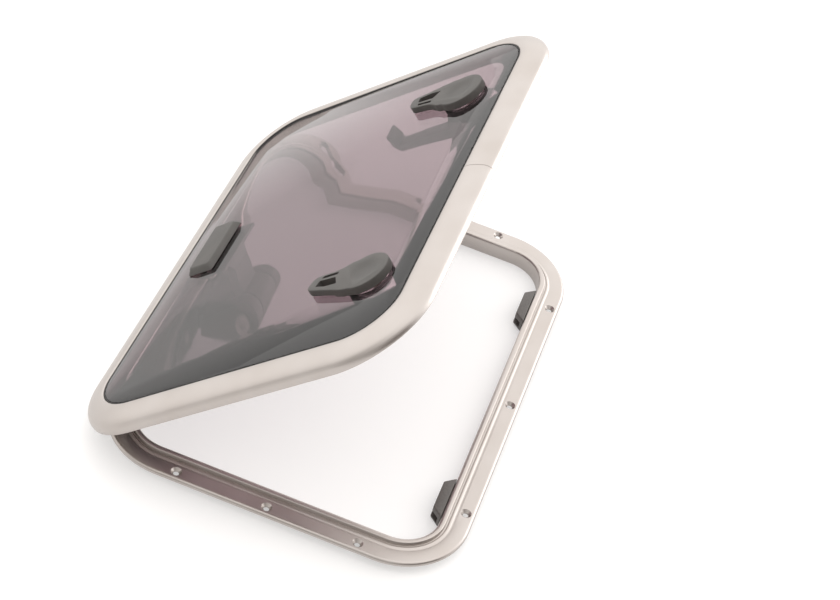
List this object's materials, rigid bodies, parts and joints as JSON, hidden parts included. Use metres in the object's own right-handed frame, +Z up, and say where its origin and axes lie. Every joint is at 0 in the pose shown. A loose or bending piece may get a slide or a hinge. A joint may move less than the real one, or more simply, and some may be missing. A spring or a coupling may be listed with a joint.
{
  "type": "deck hatch",
  "caption": "Low-profile rectangular boat deck hatch with a tinted clear lid held open on a friction hinge, two lever latches and a flanged base frame that screws into the deck.",
  "frame": {"origin": "under the middle of the whole object's box, on the plane of the inner wall's bottom edge, lid open as modelled", "axes": "+Z up out of the deck, +Y along the hinge, +X from the hinge side to the latch side"},
  "size_m": [0.3554, 0.4968, 0.2745],
  "materials": {
    "anodised_alloy": "satin clear anodised extrusion",
    "tinted_acrylic": "polished smoke-tinted cast sheet",
    "black_rubber": "matt moulded rubber",
    "grey_plastic": "fine-textured moulded plastic",
    "black_plastic": "moulded plastic",
    "grey_enamel": "dark grey powder coat",
    "stainless": "turned stainless steel",
    "white_acetal": "machined acetal"
  },
  "bodies": {
    "base": {"base_frame": "anodised_alloy", "keeper_near": "grey_enamel", "keeper_near_screw_1": "stainless", "keeper_near_screw_2": "stainless", "keeper_far": "grey_enamel", "keeper_far_screw_1": "stainless", "keeper_far_screw_2": "stainless", "hinge_base_bracket": "grey_enamel", "hinge_base_screw_1": "stainless", "hinge_base_screw_2": "stainless", "hinge_base_pin": "stainless"},
    "arm": {"hinge_arm": "grey_enamel", "friction_bolt": "stainless", "friction_nut": "stainless", "friction_washer_near": "white_acetal", "friction_washer_far": "white_acetal"},
    "lid": {"lid_frame": "anodised_alloy", "glazing_panel": "tinted_acrylic", "glazing_seal": "black_rubber", "lid_gasket": "black_rubber", "hinge_lid_bracket": "grey_enamel", "hinge_cap": "grey_plastic", "hinge_lid_bolt_1": "stainless", "hinge_lid_bolt_2": "stainless", "latch_bush_near": "black_rubber", "latch_bush_far": "black_rubber", "latch_escutcheon_near": "black_plastic", "latch_escutcheon_far": "black_plastic"},
    "latch_near": {"outer_lever_near": "grey_plastic", "inner_lever_near": "grey_plastic", "latch_spindle_near": "stainless", "latch_blade_near": "stainless", "latch_screw_near": "stainless"},
    "latch_far": {"outer_lever_far": "grey_plastic", "inner_lever_far": "grey_plastic", "latch_spindle_far": "stainless", "latch_blade_far": "stainless", "latch_screw_far": "stainless"}
  },
  "joints": [
    {"name": "arm_swing", "type": "hinge", "parent": "base", "child": "arm", "pos_m": [-0.12827, 0, 0.0133], "axis": [0, -1, 0], "range_deg": [-76.97, 6.9]},
    {"name": "lid_tilt", "type": "hinge", "parent": "arm", "child": "lid", "pos_m": [-0.08127, 0, 0.0392], "axis": [0, -1, 0], "range_deg": [-3, 32.5]},
    {"name": "latch_near_turn", "type": "hinge", "parent": "lid", "child": "latch_near", "pos_m": [0.02742, -0.1387, 0.2299], "axis": [0.7009, 0, -0.7133], "range_deg": [-9, 90]},
    {"name": "latch_far_turn", "type": "hinge", "parent": "lid", "child": "latch_far", "pos_m": [0.02742, 0.1387, 0.2299], "axis": [-0.7009, 0, 0.7133], "range_deg": [0, 99]}
  ],
  "couplings": [
    {"joint": "lid_tilt", "follows": "arm_swing", "ratio": -0.42186}
  ]
}
